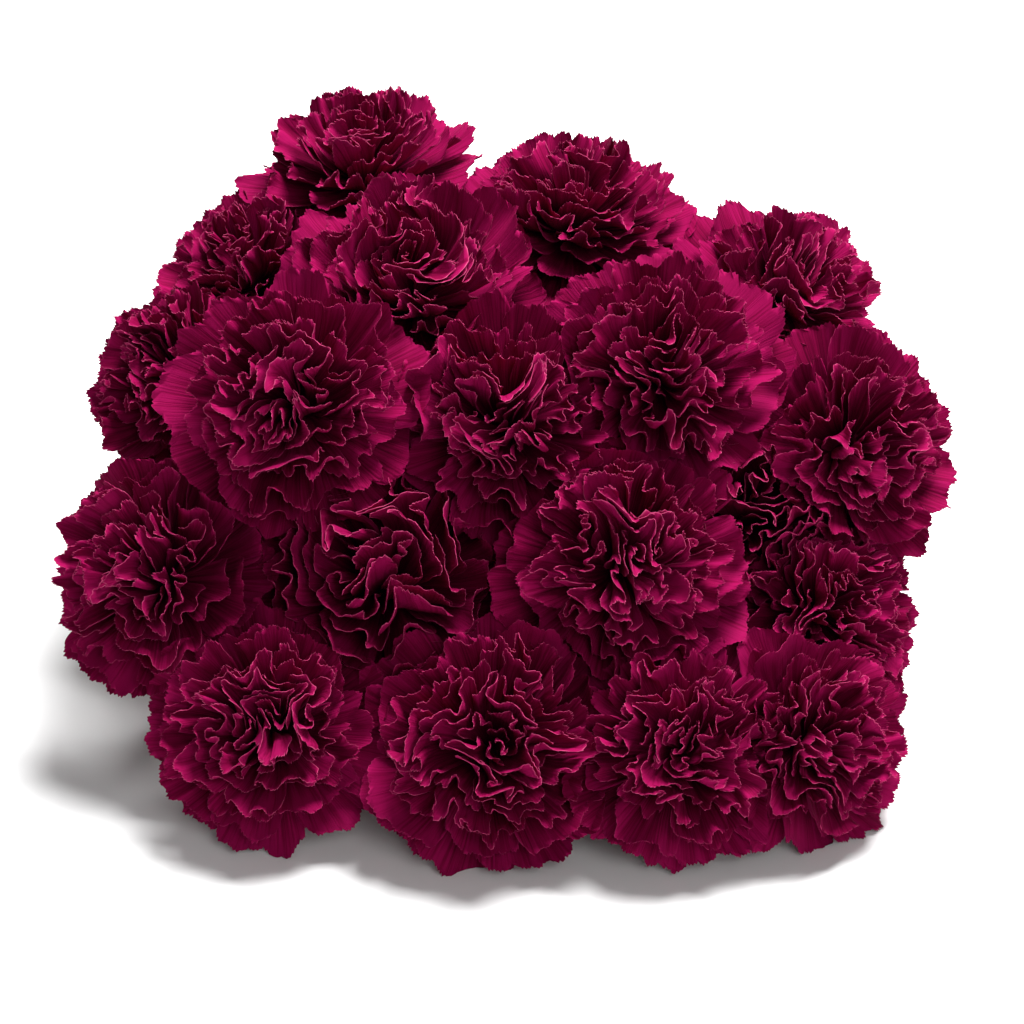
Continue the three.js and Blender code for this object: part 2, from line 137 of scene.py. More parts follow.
def make_piece(name, points, triangles, material, slot, replaced, uv=None, **attributes):
    """A smooth mesh from points in millimetres, riding on the bunch and standing for some of its solids."""
    mesh = bpy.data.meshes.new(name)
    count = len(triangles)
    mesh.vertices.add(len(points))
    mesh.vertices.foreach_set("co", in_part(points).astype(np.float32).ravel())
    mesh.loops.add(3 * count)
    mesh.loops.foreach_set("vertex_index", triangles.astype(np.int32).ravel())
    mesh.polygons.add(count)
    mesh.polygons.foreach_set("loop_start", np.arange(0, 3 * count, 3, dtype=np.int32))
    mesh.update(calc_edges=True)
    mesh.shade_smooth()
    mesh.set_sharp_from_angle(angle=SHARP_EDGE)
    if uv is not None:
        layer = mesh.uv_layers.new(name="petal")
        layer.uv.foreach_set("vector", uv[triangles.ravel()].astype(np.float32).ravel())
    for key, values in attributes.items():
        attribute = mesh.attributes.new(key, "FLOAT", "POINT")
        attribute.data.foreach_set("value", values.astype(np.float32))
    mesh.validate()
    mesh.materials.append(material)
    piece = add_object(name, mesh)
    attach(piece, "root")
    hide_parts(*replaced)


def joined(parts):
    """The points, triangles and marks of parts, as those of one mesh."""
    points, triangles, marks = zip(*parts)
    starts = np.cumsum([0] + [len(part) for part in points[:-1]])
    triangles = [part + start for part, start in zip(triangles, starts)]
    return map(np.concatenate, (points, triangles, marks))


def marks_for(shape, *values):
    """Marks for a grid of points, a column for each value."""
    return np.stack([np.broadcast_to(value, shape) for value in values], -1).astype(float)


def grid_triangles(rows, columns, closed=False):
    """Triangles of a grid of points, row by row, with its columns joined round where it is closed."""
    spans = columns if closed else columns - 1
    r, c = np.meshgrid(np.arange(rows - 1), np.arange(spans), indexing="ij")
    a, b = r * columns + c, r * columns + (c + 1) % columns
    d, e = a + columns, b + columns
    return np.concatenate([np.stack([a, b, e], -1), np.stack([a, e, d], -1)]).reshape(-1, 3)


def strip(a, b):
    """Triangles between two lines of points."""
    return np.concatenate([
        np.stack([a[:-1], a[1:], b[1:]], 1),
        np.stack([a[:-1], b[1:], b[:-1]], 1),
    ])


def tube(rings, marks):
    """A closed skin over rings of points, with a flat end on either side."""
    rows, sides = rings.shape[:2]
    points = np.concatenate([rings.reshape(-1, 3), [rings[0].mean(0), rings[-1].mean(0)]])
    marks = np.concatenate([marks.reshape(rows * sides, -1), marks[0, :1], marks[-1, :1]])
    k = np.arange(sides)
    after = (k + 1) % sides
    start, end, last = rows * sides, rows * sides + 1, (rows - 1) * sides
    triangles = np.concatenate([
        grid_triangles(rows, sides, closed=True),
        np.stack([np.full(sides, start), after, k], 1),
        np.stack([np.full(sides, end), last + k, last + after], 1),
    ])
    return points, triangles, marks


def shell(front, back, marks):
    """A closed thin sheet between two grids of points. The front looks along rows turned onto columns."""
    rows, columns = front.shape[:2]
    size = rows * columns
    grid = np.arange(size).reshape(rows, columns)
    face = grid_triangles(rows, columns)
    edge = np.concatenate([grid[0, :-1], grid[:-1, -1], grid[-1, :0:-1], grid[::-1, 0]])[::-1]
    triangles = np.concatenate([face, (face + size)[:, ::-1], strip(edge, edge + size)])
    points = np.concatenate([front.reshape(-1, 3), back.reshape(-1, 3)])
    return points, triangles, np.concatenate([marks.reshape(size, -1)] * 2)


# Camera, floor and light

CAMERA_FAR = 1300
LENS = 149.4
SENSOR = 36
CLIP_END = 20
AIM_RIGHT = 3.7
AIM_DOWN = 6.7
FLOOR_HALF = 3.0
FLOOR_SHADE = 0.86
WORLD_LIGHT = 0.21
LIGHT_TARGET = (0, -0.1, 0.08)

# Each light: its name, its place and breadth in metres, and its power.
LIGHTS = [
    ("key", (0.38, 0.32, 1.50), 0.85, 74),
    ("front", (0.5, -1.6, 1.2), 1.0, 10),
]


def aim(thing, place, heading):
    """Puts a camera or a light at its place and lets it look along a heading."""
    thing.location = place
    thing.rotation_mode = "QUATERNION"
    thing.rotation_quaternion = heading.to_track_quat("-Z", "Y")


def add_camera():
    centre = np.array([0.0, 0.0, DOME_HEIGHT]) + AIM_RIGHT * RIGHT - AIM_DOWN * UP
    data = bpy.data.cameras.new("camera")
    data.lens = LENS
    data.sensor_width = SENSOR
    data.clip_end = CLIP_END
    camera = add_object("camera", data)
    aim(camera, in_part(centre + CAMERA_FAR * FORWARD), Vector(-FORWARD))
    bpy.context.scene.camera = camera


def add_light(name, place, size, power):
    data = bpy.data.lights.new(name, "AREA")
    data.shape = "DISK"
    data.size = size
    data.energy = power
    aim(add_object(name, data), place, Vector(LIGHT_TARGET) - Vector(place))


def add_floor():
    mesh = bpy.data.meshes.new("floor")
    corners = [(x * FLOOR_HALF, y * FLOOR_HALF, 0) for x, y in ((-1, -1), (1, -1), (1, 1), (-1, 1))]
    mesh.from_pydata(corners, [], [(0, 1, 2, 3)])
    s = Shader("floor")
    s.finish(Base_Color=(FLOOR_SHADE, FLOOR_SHADE, FLOOR_SHADE, 1), Roughness=0.9)
    mesh.materials.append(s.material)
    stage = add_object("floor", mesh)


def add_world():
    world = bpy.data.worlds.new("world")
    world.use_nodes = True
    background = world.node_tree.nodes["Background"].inputs
    background["Color"].default_value = (1, 1, 1, 1)
    background["Strength"].default_value = WORLD_LIGHT
    bpy.context.scene.world = world
    bpy.context.scene.view_settings.view_transform = "Standard"


# Materials


class Shader:
    """A short way to add and join a material's nodes."""

    def __init__(self, name):
        self.material = bpy.data.materials.new(name)
        self.material.use_nodes = True
        self.tree = self.material.node_tree
        self.surface = self.tree.nodes["Principled BSDF"]

    def node(self, kind, settings=None, **inputs):
        made = self.tree.nodes.new("ShaderNode" + kind)
        for key, value in (settings or {}).items():
            setattr(made, key, value)
        for key, value in inputs.items():
            self.put(made.inputs[key.replace("_", " ")], value)
        return made

    def put(self, socket, value):
        if isinstance(value, bpy.types.NodeSocket):
            self.tree.links.new(value, socket)
        else:
            socket.default_value = value

    def math(self, operation, a, b):
        made = self.node("Math", {"operation": operation})
        for socket, value in zip(made.inputs, (a, b)):
            self.put(socket, value)
        return made.outputs[0]

    def plus(self, tone, value, share):
        """A tone with a share of another value added to it."""
        return self.math("ADD", tone, self.math("MULTIPLY", value, share))

    def noise(self, place, scale, **inputs):
        return self.node("TexNoise", Vector=place, Scale=scale, **inputs).outputs[0]

    def mix(self, share, a, b):
        made = self.node("Mix", {"data_type": "RGBA"})
        self.put(made.inputs[0], share)
        for socket, value in zip(made.inputs[6:8], (a, b)):
            self.put(socket, value)
        return made.outputs[2]

    def ramp(self, share, stops):
        made = self.node("ValToRGB", Fac=share)
        elements = made.color_ramp.elements
        while len(elements) < len(stops):
            elements.new(0.5)
        for element, (place, colour) in zip(elements, stops):
            element.position = place
            element.color = (*colour, 1)
        return made.outputs[0]

    def attribute(self, name):
        return self.node("Attribute", {"attribute_name": name}).outputs["Fac"]

    def bump(self, height, strength, distance):
        made = self.node("Bump", Height=height, Strength=strength, Distance=distance)
        self.put(self.surface.inputs["Normal"], made.outputs[0])

    def finish(self, **inputs):
        """The surface's own colour, gloss and sheen."""
        for key, value in inputs.items():
            self.put(self.surface.inputs[key.replace("_", " ")], value)


# Petal colours along a tone that rises from the throat to the margin. The darkening towards the throat is
# painted shade of the deep bloom; the streaks and each petal's tone move it as the petal's own colour.
PETAL_TONES_AND_THROAT_SHADE = [
    (0.0, (0.022, 0.0003, 0.004)),
    (0.45, (0.071, 0.0005, 0.014)),
    (0.78, (0.153, 0.0012, 0.031)),
    (1.0, (0.228, 0.0028, 0.054)),
]
# A painted highlight: the pale colour put on petal rims where light catches their thin edges.
PETAL_RIM_HIGHLIGHT = (0.50, 0.07, 0.17, 1)
PETAL_SHEEN = (0.8, 0.03, 0.18, 1)
RIM_POWER = 16.0
GREEN_TONES = [
    (0.25, (0.045, 0.100, 0.055)),
    (0.55, (0.105, 0.200, 0.115)),
    (0.95, (0.36, 0.46, 0.28)),
]
DRY_GREEN = (0.20, 0.13, 0.05, 1)
BAND_TONES = [
    (0.3, (0.36, 0.21, 0.08)),
    (0.7, (0.56, 0.36, 0.16)),
]


def petal_material():
    """Darker towards the throat as painted shade, with fine and broad streaks along the petal, and a rim
    that is pale in patches as a painted highlight."""
    s = Shader("petals")
    uv = s.node("UVMap", {"uv_map": "petal"}).outputs[0]
    share = s.node("SeparateXYZ", Vector=uv).outputs["Y"]
    streaks = s.node("Mapping", Vector=uv, Scale=(6.0, 0.6, 1.0)).outputs[0]
    fine = s.noise(streaks, 1.6, Detail=5.0, Roughness=0.65)
    wide = s.node("Mapping", Vector=uv, Scale=(1.7, 0.35, 1.0)).outputs[0]
    bands = s.noise(wide, 1.6, Detail=3.0)
    tone = s.plus(share, s.math("SUBTRACT", fine, 0.5), 1.2)
    tone = s.plus(tone, s.math("SUBTRACT", bands, 0.5), 0.9)
    tone = s.plus(tone, s.attribute("tone"), 0.15)
    # The share along the petal darkens it towards the throat: painted shade.
    colour = s.ramp(tone, PETAL_TONES_AND_THROAT_SHADE)
    # A painted highlight on the rims, pale in patches along them, where light catches the petal edges.
    rim_highlight_patches = s.noise(uv, 5.0, Detail=3.0)
    rim_highlight_patches = s.node("MapRange", Value=rim_highlight_patches, From_Min=0.35, From_Max=0.6, To_Min=0.1, To_Max=0.85)
    pale = s.math("MULTIPLY", s.math("POWER", s.attribute("rim"), RIM_POWER), rim_highlight_patches.outputs[0])
    colour = s.mix(pale, colour, PETAL_RIM_HIGHLIGHT)
    s.finish(Base_Color=colour, Roughness=0.7, Specular_IOR_Level=0.02)
    s.finish(Sheen_Weight=0.1, Sheen_Roughness=0.4, Sheen_Tint=PETAL_SHEEN)
    s.bump(s.math("ADD", fine, bands), 0.45, 0.0008)
    return s.material


def green_material():
    """Clouded waxy green, paler and drier where its marks say so."""
    s = Shader("green")
    place = s.node("TexCoord").outputs["Object"]
    cloud = s.noise(place, 55.0, Detail=4.0)
    grain = s.noise(place, 700.0, Detail=2.0)
    tone = s.plus(s.math("MULTIPLY", cloud, 0.8), grain, 0.2)
    tone = s.plus(tone, s.attribute("pale"), 0.35)
    tone = s.plus(tone, s.attribute("tone"), 0.05)
    colour = s.mix(s.attribute("dry"), s.ramp(tone, GREEN_TONES), DRY_GREEN)
    s.finish(Base_Color=colour, Roughness=s.plus(0.36, cloud, 0.3), Sheen_Weight=0.15)
    s.bump(grain, 0.2, 0.0003)
    return s.material


def band_material():
    s = Shader("band")
    place = s.node("TexCoord").outputs["Object"]
    cloud = s.noise(place, 260.0, Detail=5.0)
    s.finish(Base_Color=s.ramp(cloud, BAND_TONES), Roughness=0.6, Subsurface_Weight=0.08)
    s.bump(cloud, 0.25, 0.0002)
    return s.material


# Places of the blooms and the walls between them

BLOOM_GAP = 0.6
CELL_FORWARD = 10
FLOOR_GAP = 0.3
FREE_SHARE = 0.8
LEAST_FACING = 0.02
NO_WALL = 1e3
CROWDED_FROM = 1.5
CROWDED_BY = 0.6


class Bloom:
    """Where a bloom stands, which way it looks and how far its petals may grow."""

    def __init__(self, index, row):
        across, rise, near, pitch, yaw, *looks = row
        self.radius, self.reach, self.flatness, self.folding = looks
        pitch, yaw = radians(pitch), radians(yaw)
        self.index = index
        self.throat = np.array([0, 0, DOME_HEIGHT]) + across * RIGHT + rise * UP + near * FORWARD
        self.axis = cos(pitch) * cos(yaw) * FORWARD + sin(pitch) * cos(yaw) * UP + sin(yaw) * RIGHT
        side = unit(np.cross(self.axis, RIGHT))
        self.u = turned(side, self.axis, pi * draw(index, 1))
        self.v = np.cross(self.axis, self.u)
        self.cell = self.throat + CELL_FORWARD * self.axis
        self.number = f"{index + 1:02d}"

    def face_walls(self, blooms):
        """The walls that keep it clear of its neighbours, each a direction and how far out it lies."""
        others = [other for other in blooms if other is not self]
        normals = np.array([other.cell - self.cell for other in others])
        shares = np.array([self.radius / (self.radius + other.radius) for other in others])
        walls = self.cell + normals * shares[:, None]
        self.normals = unit(normals)
        self.reaches = ((walls - self.throat) * self.normals).sum(1) - BLOOM_GAP / 2

    def directions(self, lean, spot):
        """Directions that lean off the axis, each towards its spot's side of the map."""
        sideways = around(np.arctan2(spot[..., 1], spot[..., 0]), self.u, self.v)
        return np.cos(lean)[..., None] * self.axis + np.sin(lean)[..., None] * sideways

    def beside(self, azimuth, depth, out):
        """Points so far behind the throat and so far out from the axis."""
        sideways = around(azimuth, self.u, self.v)
        return self.throat - depth[..., None] * self.axis + out[..., None] * sideways

    def room(self, directions, past=0.0):
        """How far out the nearest wall lies in each direction, or a place past it."""
        facing = directions @ self.normals.T
        walls = (self.reaches + past) / np.maximum(facing, LEAST_FACING)
        return np.where(facing > LEAST_FACING, walls, NO_WALL).min(-1)

    def grown(self, directions, lengths, past):
        """How far petals grow: they slow near a wall and stop at it, or a little past it, and they stay
        above the floor."""
        room = self.room(directions, past)
        free = FREE_SHARE * room
        slowed = free + (room - free) * np.tanh((lengths - free) / (room - free))
        reach = np.where(lengths <= free, lengths, slowed)
        drop = -directions[..., 2]
        lowest = (self.throat[2] - FLOOR_GAP) / np.maximum(drop, LEAST_FACING)
        return np.where(drop > LEAST_FACING, np.minimum(reach, lowest), reach)

    def crowding(self, directions):
        """How much neighbours press in a direction, from 0 where there are none to 1."""
        room = self.room(directions)
        return np.clip((CROWDED_FROM * self.radius - room) / (CROWDED_BY * self.radius), 0, 1)


# Petal margins on a map of the dome, grown until they meander

MAP_RADIUS = 41.0
MAP_EDGE = 59.0
GROWTH_STEPS = 180
STAGES = 10

# Petals in a whorl, how far out they stand on the map, how far they slant, their overlap, how far their
# margins swing in radians, the length of a swing, the room they keep, their length as a share of the
# dome's radius, how many times finer their rims are than their faces, and how strongly those are painted
# pale as a highlight.
WHORLS = [
    (9, 55.0, 4.0, 1.50, 0.40, 46, 3.0, 0.99, 5, 0.91),
    (7, 45.5, 4.0, 1.15, 0.95, 36, 3.4, 0.95, 4, 0.94),
    (7, 37.5, 3.5, 1.05, 1.50, 28, 3.4, 0.95, 4, 0.97),
    (7, 31.0, 3.0, 1.02, 1.75, 26, 3.4, 0.97, 3, 1),
    (6, 25.0, 3.0, 1.00, 1.85, 24, 3.2, 0.99, 3, 1),
    (5, 19.0, 2.6, 1.00, 1.85, 23, 3.2, 1.00, 3, 1),
    (4, 13.0, 2.4, 1.00, 1.85, 21, 3.0, 1.00, 3, 1),
    (3, 7.5, 2.2, 1.00, 1.85, 20, 2.8, 1.00, 3, 1),
    (2, 3.0, 1.5, 0.95, 1.80, 18, 2.6, 0.99, 3, 1),
]

# How much petals of a whorl differ in breadth, place, ring, swing and wave.
BREADTHS = (0.85, 1.1)
PLACE_WANDER = 0.12
RING_WANDER = 1.2
SWINGS = (0.8, 1.15)
WAVES = (0.65, 1.45)
SLOW_WAVE = 2.7
SLOW_SWING = 1.2
CALMEST = 0.35
CALM_WAVE = 17
SHARPNESS = (0.6, 2.4)
END_SWING = 0.25
CALM_END = 0.1
COLUMNS_A_WAVE = 11
FEWEST_COLUMNS = 8
LEAST_FIRST = 0.4
LEAST_STRAIGHT = 0.38

# Places that the map is turned about: how far out they lie, how far from an even spacing, by what angles
# the margins are turned before they grow and the finished petals after it, and how widely.
VORTICES = 7
VORTEX_RINGS = (6, 37)
VORTEX_WANDER = 0.35
FIRST_TURNS = (0.7, 1.6)
LAST_TURNS = (0.5, 1.1)
VORTEX_SIZES = (9, 14)

# How strongly a margin's points seek their own place, their petal's place, their line's direction and
# length, a smooth line, room from other points and the map's edge, and how far they go in a step.
HOMING = 0.004
HOLDING = 0.08
TURNING = 0.3
STRETCHING = 0.5
BENDING = 0.15
PUSHING = 2.6
FENCING = 0.3
STEP_SHARE = 0.6
LONGEST_STEP = 0.5
FULL_SWING_AT = 0.92
SEEK_EVERY = 5
SEEK_PAST = 3
OWN_LINE = 4


def vortices(rng, turns):
    """Places on the map, spaced round its middle, each with how far the map is turned about it and how
    widely."""
    spaced = np.arange(VORTICES) + rng.uniform(-VORTEX_WANDER, VORTEX_WANDER, VORTICES)
    return [
        (
            rng.uniform(*VORTEX_RINGS) * np.array([cos(at), sin(at)]),
            rng.choice([-1, 1]) * rng.uniform(*turns),
            rng.uniform(*VORTEX_SIZES),
        )
        for at in 2 * pi / VORTICES * spaced + rng.uniform(0, pi)
    ]


def stirred(points, places, share=1.0):
    """Points of the map turned about some places, less and less with the distance from them, so that
    the whorls no longer lie in plain rings."""
    for place, angle, size in places:
        away = points - place
        turn = share * angle * np.exp(-(away**2).sum(-1) / size**2)
        c, d = np.cos(turn) - 1, np.sin(turn)
        x, y = away[..., 0], away[..., 1]
        points = points + np.stack([c * x - d * y, d * x + c * y], -1)
    return points


def first_margins(rng, folding):
    """Petal margins as plain arcs on the map, with how each of their points is to swing as it grows."""
    margins = []
    for whorl, (count, ring, slant, overlap, most_swing, wave, room, *_) in enumerate(WHORLS):
        turn = rng.uniform(0, 2 * pi)
        for k in range(count):
            half = pi / count * overlap * rng.uniform(*BREADTHS)
            middle = turn + 2 * pi * (k + rng.uniform(-PLACE_WANDER, PLACE_WANDER)) / count
            ring_here = ring + RING_WANDER * rng.uniform(-1, 1)
            most = folding * most_swing * rng.uniform(*SWINGS)
            longest = 2 * half * ring_here / max(LEAST_FIRST, 1 - 0.25 * most**2)
            columns = max(FEWEST_COLUMNS, round(longest / wave * COLUMNS_A_WAVE) + 1)
            across = np.linspace(-1, 1, columns)
            out = ring_here + slant * across
            round_by = middle + half * across
            arc = (across + 1) / 2 * longest
            span = wave * rng.uniform(*WAVES)
            phase = 2 * pi * (arc / span + rng.uniform())
            phase += SLOW_SWING * np.sin(2 * pi * (arc / (SLOW_WAVE * span) + rng.uniform()))
            calm = CALMEST * rng.uniform() * (1 + np.sin(arc / CALM_WAVE + 6 * rng.uniform())) / 2
            sharp = rng.uniform(*SHARPNESS)
            swing = most * np.tanh(sharp * np.sin(phase)) / np.tanh(sharp) * (1 - calm)
            swing *= END_SWING + (1 - END_SWING) * smooth((1 - np.abs(across)) / CALM_END)
            points = np.stack([out * np.cos(round_by), out * np.sin(round_by)], 1)
            margins.append((whorl, points, swing, room))
    return margins


def near_pairs(at, curve, room):
    """Pairs of points that may come too near each other, with the room that they want."""
    squares = (at**2).sum(1)
    apart = squares[:, None] + squares - 2 * at @ at.T
    i, j = np.nonzero(np.triu(apart < (room.max() + SEEK_PAST) ** 2, 1))
    kept = (curve[i] != curve[j]) | (j - i > OWN_LINE)
    i, j = i[kept], j[kept]
    return i, j, (room[i] + room[j]) / 2


def grow_margins(rng, folding):
    """Margins of every petal at each stage of growth. They lengthen and swing, and push each other away."""
    whorls, lines, swings, rooms = zip(*first_margins(rng, folding))
    sizes = np.array([len(line) for line in lines])
    curve = np.repeat(np.arange(len(lines)), sizes)
    at = stirred(np.concatenate(lines), vortices(rng, FIRST_TURNS))
    swing = np.concatenate(swings)
    room = np.repeat(rooms, sizes)
    a = np.flatnonzero(curve[1:] == curve[:-1])
    b = a + 1
    inner = np.flatnonzero(curve[2:] == curve[:-2]) + 1
    first = at[b] - at[a]
    first_length = norm(first, axis=1)
    heading = np.arctan2(first[:, 1], first[:, 0])
    edge_swing = (swing[a] + swing[b]) / 2

    def centres(points):
        sums = [np.bincount(curve, points[:, k]) for k in (0, 1)]
        return np.stack(sums, 1) / sizes[:, None]

    home, home_centres = at.copy(), centres(at)
    stages = [at.copy()]
    for step in range(GROWTH_STEPS):
        share = min(1, (step + 1) / (FULL_SWING_AT * GROWTH_STEPS))
        if step % SEEK_EVERY == 0:
            i, j, wanted = near_pairs(at, curve, room)
        straight = np.bincount(curve, np.cos(share * swing)) / sizes
        length = first_length / np.maximum(straight, LEAST_STRAIGHT)[curve[a]]
        angle = heading + share * edge_swing
        goal = length[:, None] * np.stack([np.cos(angle), np.sin(angle)], 1)
        force = HOMING * (home - at) + HOLDING * (home_centres - centres(at))[curve]
        edge = at[b] - at[a]
        size = norm(edge, axis=1)
        pull = TURNING * (edge - goal) + (STRETCHING * (size - length) / size)[:, None] * edge
        force[a] += pull
        force[b] -= pull
        bend = BENDING * (at[inner - 1] + at[inner + 1] - 2 * at[inner])
        force[inner] += bend
        force[inner - 1] -= bend / 2
        force[inner + 1] -= bend / 2
        gap = at[j] - at[i]
        size = norm(gap, axis=1) + TINY
        push = (PUSHING * np.clip(1 - size / wanted, 0, None) / size)[:, None] * gap
        for k in (0, 1):
            force[:, k] += np.bincount(j, push[:, k], len(at)) - np.bincount(i, push[:, k], len(at))
        out = norm(at, axis=1)
        force -= (FENCING * np.clip(out - MAP_EDGE, 0, None) / out)[:, None] * at
        size = norm(force, axis=1)
        at = at + STEP_SHARE * force * np.minimum(1, LONGEST_STEP / (size + TINY))[:, None]
        if (step + 1) % (GROWTH_STEPS // STAGES) == 0:
            stages.append(at.copy())
    return zip(whorls, np.split(np.array(stages), np.cumsum(sizes)[:-1], axis=1))


# Petals

ROW_SHARES = np.array([0.16, 0.48, 0.68, 0.83, 0.94])
HALF_SHEET = 0.17
RIM_HALF = 0.09
INTERLOCK = (1, 10)
GROWTH_START = 0.42
GROWTH_POWER = 1.35
SPREAD_FIRST = 0.46
SPREAD_POWER = 2.2
FLATTEST = radians(92)

# A petal's outline: how its corners are cut, each a power and the least and most of a cut, and the lobes,
# clefts, teeth and ripples of its margin, in millimetres along it and as shares of the petal's length.
CORNER_CUTS = ((3, 0.05, 0.2), (14, 0.25, 0.4))
GUARD_CUT = 0.12
LOBES = (34, 15, 7)
LOBE_WAVES = (0.8, 1.25)
LOBE_SHARE = 0.0028
LOBE_POWER = 0.7
MOST_CLEFTS = 2
CLEFT_WIDTHS = (0.8, 2.2)
CLEFT_DEPTHS = (0.03, 0.10)
LONG_TEETH = (0.25, 1.2)
SHORT_TEETH = (0, 0.3)
RARE_TOOTH = 0.4
RARE_FROM = 0.94
RIPPLE = 0.45
RIPPLE_WAVES = (4.5, 7)
RIPPLE_SHARES = (0.3, 1)
PATTERN_LENGTH = 10
PATTERN_STARTS = 40
PETAL_SEED = 700

# How much guard petals and then all others differ in length, and how much they gain where they are pressed.
LENGTH_CHANGES = ((0.06, 0.12), (0.12, 0.05))


def dome_radius(bloom, lean):
    return bloom.radius * bloom.reach * (1 - bloom.flatness * np.cos(np.minimum(lean, pi / 2)) ** 2)


def finer(values, times):
    """Values along the second axis at more places, on a smooth curve through the given ones."""
    count = values.shape[1]
    place = np.linspace(0, count - 1, times * (count - 1) + 1)
    k = np.minimum(place.astype(int), count - 2)
    t = (place - k)[None, :, None]
    p0, p1 = values[:, np.maximum(k - 1, 0)], values[:, k]
    p2, p3 = values[:, k + 1], values[:, np.minimum(k + 2, count - 1)]
    return 0.5 * (
        2 * p1
        + (p2 - p0) * t
        + (2 * p0 - 5 * p1 + 4 * p2 - p3) * t**2
        + (3 * p1 - p0 - 3 * p2 + p3) * t**3
    )


def lean_of(spot):
    return 2 * np.arcsin(np.clip(norm(spot, axis=-1) / (2 * MAP_RADIUS), 0, 1))


def placed(bloom, stages, distance, offset, past):
    """Points of a sheet at distances from the throat (rows by columns), shifted sideways on the map."""
    full = dome_radius(bloom, lean_of(stages[-1]))
    stage = np.clip((distance / full - GROWTH_START) / (1 - GROWTH_START), 0, 1) ** GROWTH_POWER * STAGES
    low = np.minimum(stage.astype(int), STAGES - 1)
    t = (stage - low)[..., None]
    columns = np.arange(stages.shape[1])[None, :]
    spot = stages[low, columns] * (1 - t) + stages[low + 1, columns] * t
    spot = stirred(spot, bloom.twists, (distance / full) ** 3)
    along = np.gradient(spot, axis=1)
    spot = spot + offset * unit(np.stack([-along[..., 1], along[..., 0]], -1))
    lean = lean_of(spot)
    spread = SPREAD_FIRST * (1 - (lean / FLATTEST) ** 2) * (1 - (distance / bloom.radius) ** SPREAD_POWER)
    directions = bloom.directions(lean * (1 + spread), spot)
    return bloom.throat + bloom.grown(directions, distance, past)[..., None] * directions


def petal_lengths(bloom, whorl, spots, arc, rng):
    """How long a petal is at places along its margin, before it is toothed."""
    across = np.abs(np.linspace(-1, 1, len(arc)))
    outline = np.ones(len(arc))
    for power, least, most in CORNER_CUTS:
        outline -= rng.uniform(least, most) * across**power
    if whorl == 0:
        outline -= GUARD_CUT * across**6
    for wave in LOBES:
        wave = wave * rng.uniform(*LOBE_WAVES)
        outline += LOBE_SHARE * wave**LOBE_POWER * np.sin(2 * pi * (arc / wave + rng.uniform()))
    for _ in range(rng.integers(0, MOST_CLEFTS + 1)):
        cleft = np.abs(arc - rng.uniform(0, arc[-1])) / rng.uniform(*CLEFT_WIDTHS)
        outline -= rng.uniform(*CLEFT_DEPTHS) * np.exp(-cleft)
    leans = lean_of(spots)
    crowding = bloom.crowding(bloom.directions(leans, spots))
    wander, gain = LENGTH_CHANGES[whorl > 0]
    share = WHORLS[whorl][7] * (1 + wander * rng.uniform(-1, 0.8)) * (1 + gain * crowding)
    return dome_radius(bloom, leans) * outline * share


def teeth(count, rng):
    long, short = rng.uniform(*LONG_TEETH, count), rng.uniform(*SHORT_TEETH, count)
    return np.where(np.arange(count) % 2, long, short) + RARE_TOOTH * (rng.uniform(0, 1, count) > RARE_FROM)


def petal_triangles(rows, columns, times):
    """Triangles of a petal's sheet. Its points are the front and the back face, row by row outwards, then
    the front and the back rim, which are finer."""
    count = times * (columns - 1) + 1
    back = rows * columns
    rim_front = 2 * back
    last = back - columns
    k = np.arange(columns - 1)
    fan = [np.stack([last + k, last + k + 1, rim_front + times * (k + 1)], 1)]
    for step in range(times):
        fan.append(np.stack([last + k, rim_front + times * k + step + 1, rim_front + times * k + step], 1))
    front = np.concatenate([grid_triangles(rows, columns), *fan])
    rim = rim_front + np.arange(count)
    first = np.append(np.arange(rows) * columns, rim[0])
    final = np.append(np.arange(1, rows + 1) * columns - 1, rim[-1])
    foot = np.arange(columns)[::-1]

    def behind(points):
        return points + np.where(points < rim_front, back, count)

    edges = [strip(line, behind(line)) for line in (rim, first, foot)]
    return np.concatenate([front, behind(front)[:, ::-1], *edges, strip(final, behind(final))[:, ::-1]])


def petal(bloom, whorl, stages, rng):
    """One petal as a closed thin sheet: two coarse faces that end in a fine toothed margin."""
    times, rim_highlight = WHORLS[whorl][-2:]
    fine = finer(stages, times)
    arc = lengths_along(fine[-1])
    length = petal_lengths(bloom, whorl, fine[-1], arc, rng)
    margin = length - teeth(len(arc), rng)
    distance = ROW_SHARES[:, None] * length[None, ::times]
    along = arc / PATTERN_LENGTH + rng.uniform(0, PATTERN_STARTS)
    tone = rng.uniform(-1, 1)
    past = rng.uniform(*INTERLOCK)
    ripple = RIPPLE * np.sin(2 * pi * (arc / rng.uniform(*RIPPLE_WAVES) + rng.uniform()))
    ripple *= rng.uniform(*RIPPLE_SHARES, len(arc))
    # Marks of each point: how far along the margin it lies, its share out from the throat (which sets the
    # painted throat shade), how strong the painted rim highlight is, and the petal's tone.
    face_marks = marks_for(distance.shape, along[::times], ROW_SHARES[:, None], 0, tone).reshape(-1, 4)
    rim_marks = marks_for(arc.shape, along, 1, rim_highlight, tone)
    faces, rims = [], []
    for side in (1, -1):
        faces.append(placed(bloom, stages, distance, side * HALF_SHEET, past).reshape(-1, 3))
        rims.append(placed(bloom, fine, margin[None], side * RIM_HALF + ripple[:, None], past)[0])
    # The grids run the other way round here, so each triangle is turned to look outwards.
    triangles = petal_triangles(*distance.shape, times)[:, ::-1]
    return np.concatenate(faces + rims), triangles, np.concatenate([face_marks] * 2 + [rim_marks] * 2)


HEART_SIDES = 16
HEART_RINGS = 9
HEART_RADIUS = 8.0
HEART_DEPTH = 13.0
HEART_RISE = 6.4
HEART_END = 0.12
HEART_TAPER = 0.86


